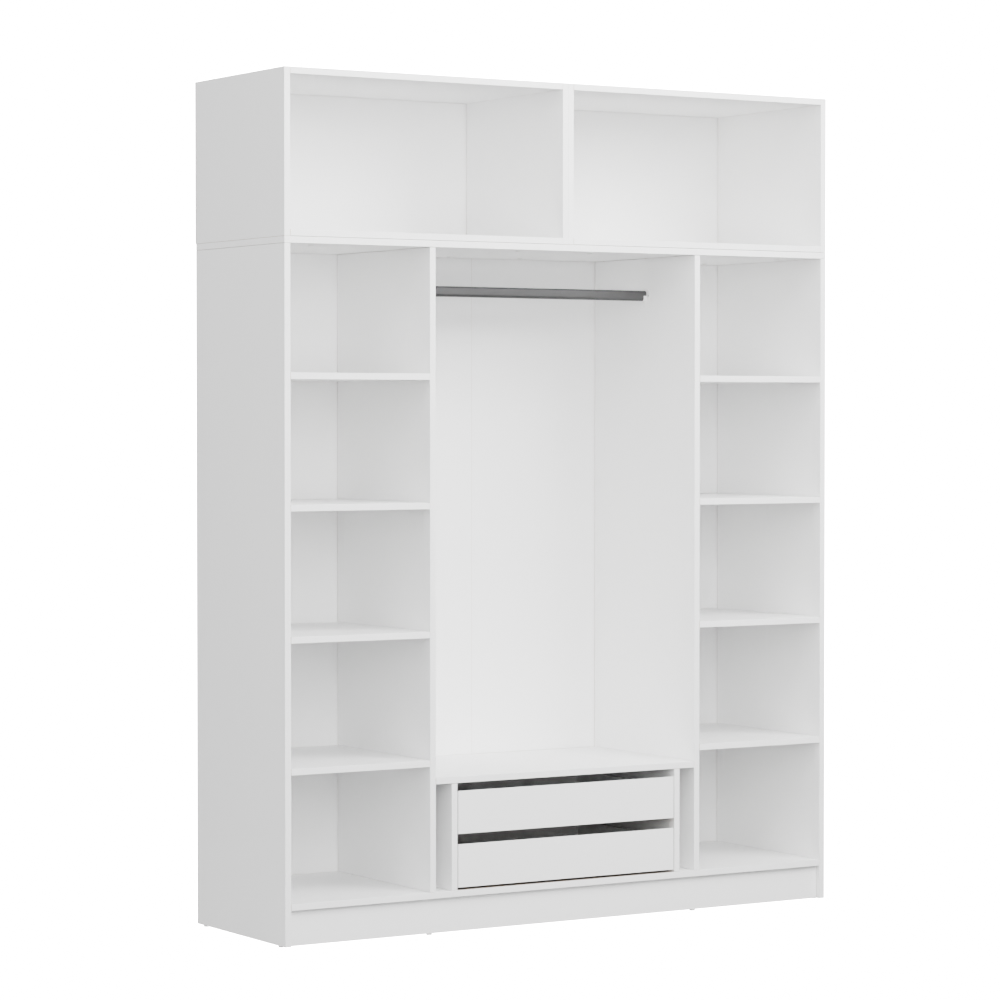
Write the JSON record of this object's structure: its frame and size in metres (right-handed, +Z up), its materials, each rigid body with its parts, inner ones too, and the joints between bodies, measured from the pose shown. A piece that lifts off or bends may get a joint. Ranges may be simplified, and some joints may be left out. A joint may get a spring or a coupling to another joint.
{
  "type": "closet organizer unit",
  "caption": "Open white wardrobe carcass: shelf bays either side of a hanging bay with an oval rail, inset drawers on roller runners below it, and open storage boxes stacked on top.",
  "frame": {"origin": "middle of the footprint, on the floor under the glides", "axes": "+X to the right as one faces the unit, -Y out of the open front, +Z up"},
  "size_m": [1.8, 0.523, 2.354],
  "materials": {
    "board": "white melamine-faced chipboard, satin",
    "hardboard": "white-faced hardboard",
    "rail": "satin grey metal tube",
    "plastic": "moulded white plastic",
    "nylon": "moulded nylon",
    "runner_steel": "white epoxy-coated steel",
    "zinc": "zinc-plated",
    "beech": "raw fluted beech"
  },
  "bodies": {
    "cabinet": {"left_side_panel": "board", "right_side_panel": "board", "left_divider": "board", "right_divider": "board", "top_panel": "board", "bottom_panel": "board", "front_plinth": "board", "rear_plinth": "board", "left_shelf_1": "board", "left_shelf_2": "board", "left_shelf_3": "board", "left_shelf_4": "board", "right_shelf_1": "board", "right_shelf_2": "board", "right_shelf_3": "board", "right_shelf_4": "board", "drawer_deck": "board", "left_housing_side": "board", "right_housing_side": "board", "left_back_panel": "hardboard", "right_back_panel": "hardboard", "left_box_outer_side": "board", "left_box_inner_side": "board", "left_box_top": "board", "left_box_bottom": "board", "left_box_back": "hardboard", "right_box_outer_side": "board", "right_box_inner_side": "board", "right_box_top": "board", "right_box_bottom": "board", "right_box_back": "hardboard", "hanging_rail": "rail", "rail_sockets": "plastic", "floor_glides": "plastic", "cam_locks": "zinc", "cam_bolts": "zinc", "dowels": "beech", "confirmat_screws": "zinc", "box_connectors": "zinc", "cabinet_runners": "runner_steel", "small_screws": "zinc"},
    "lower_drawer": {"lower_drawer_front": "board", "lower_drawer_left_side": "board", "lower_drawer_right_side": "board", "lower_drawer_back": "board", "lower_drawer_bottom": "hardboard", "lower_drawer_runners": "runner_steel", "lower_drawer_fasteners": "zinc"},
    "upper_drawer": {"upper_drawer_front": "board", "upper_drawer_left_side": "board", "upper_drawer_right_side": "board", "upper_drawer_back": "board", "upper_drawer_bottom": "hardboard", "upper_drawer_runners": "runner_steel", "upper_drawer_fasteners": "zinc"},
    "lower_front_rollers": {"lower_front_rollers": "nylon"},
    "lower_rear_rollers": {"lower_rear_rollers": "nylon"},
    "upper_front_rollers": {"upper_front_rollers": "nylon"},
    "upper_rear_rollers": {"upper_rear_rollers": "nylon"}
  },
  "joints": [
    {"name": "lower_drawer_slide", "type": "slide", "parent": "cabinet", "child": "lower_drawer", "axis": [0, -1, 0], "range_m": [0, 0.33]},
    {"name": "lower_front_roller_spin", "type": "hinge", "parent": "cabinet", "child": "lower_front_rollers", "pos_m": [0, -0.2265, 0.152], "axis": [1, 0, 0], "range_deg": [0, 1720]},
    {"name": "lower_rear_roller_spin", "type": "hinge", "parent": "lower_drawer", "child": "lower_rear_rollers", "pos_m": [0, 0.1955, 0.1495], "axis": [1, 0, 0], "range_deg": [0, 1720]},
    {"name": "upper_drawer_slide", "type": "slide", "parent": "cabinet", "child": "upper_drawer", "axis": [0, -1, 0], "range_m": [0, 0.33]},
    {"name": "upper_front_roller_spin", "type": "hinge", "parent": "cabinet", "child": "upper_front_rollers", "pos_m": [0, -0.2265, 0.3], "axis": [1, 0, 0], "range_deg": [0, 1720]},
    {"name": "upper_rear_roller_spin", "type": "hinge", "parent": "upper_drawer", "child": "upper_rear_rollers", "pos_m": [0, 0.1955, 0.2975], "axis": [1, 0, 0], "range_deg": [0, 1720]}
  ],
  "couplings": [
    {"joint": "lower_front_roller_spin", "follows": "lower_drawer_slide", "rad_per_m": 90.909},
    {"joint": "lower_rear_roller_spin", "follows": "lower_drawer_slide", "rad_per_m": 90.909},
    {"joint": "upper_front_roller_spin", "follows": "upper_drawer_slide", "rad_per_m": 90.909},
    {"joint": "upper_rear_roller_spin", "follows": "upper_drawer_slide", "rad_per_m": 90.909}
  ]
}
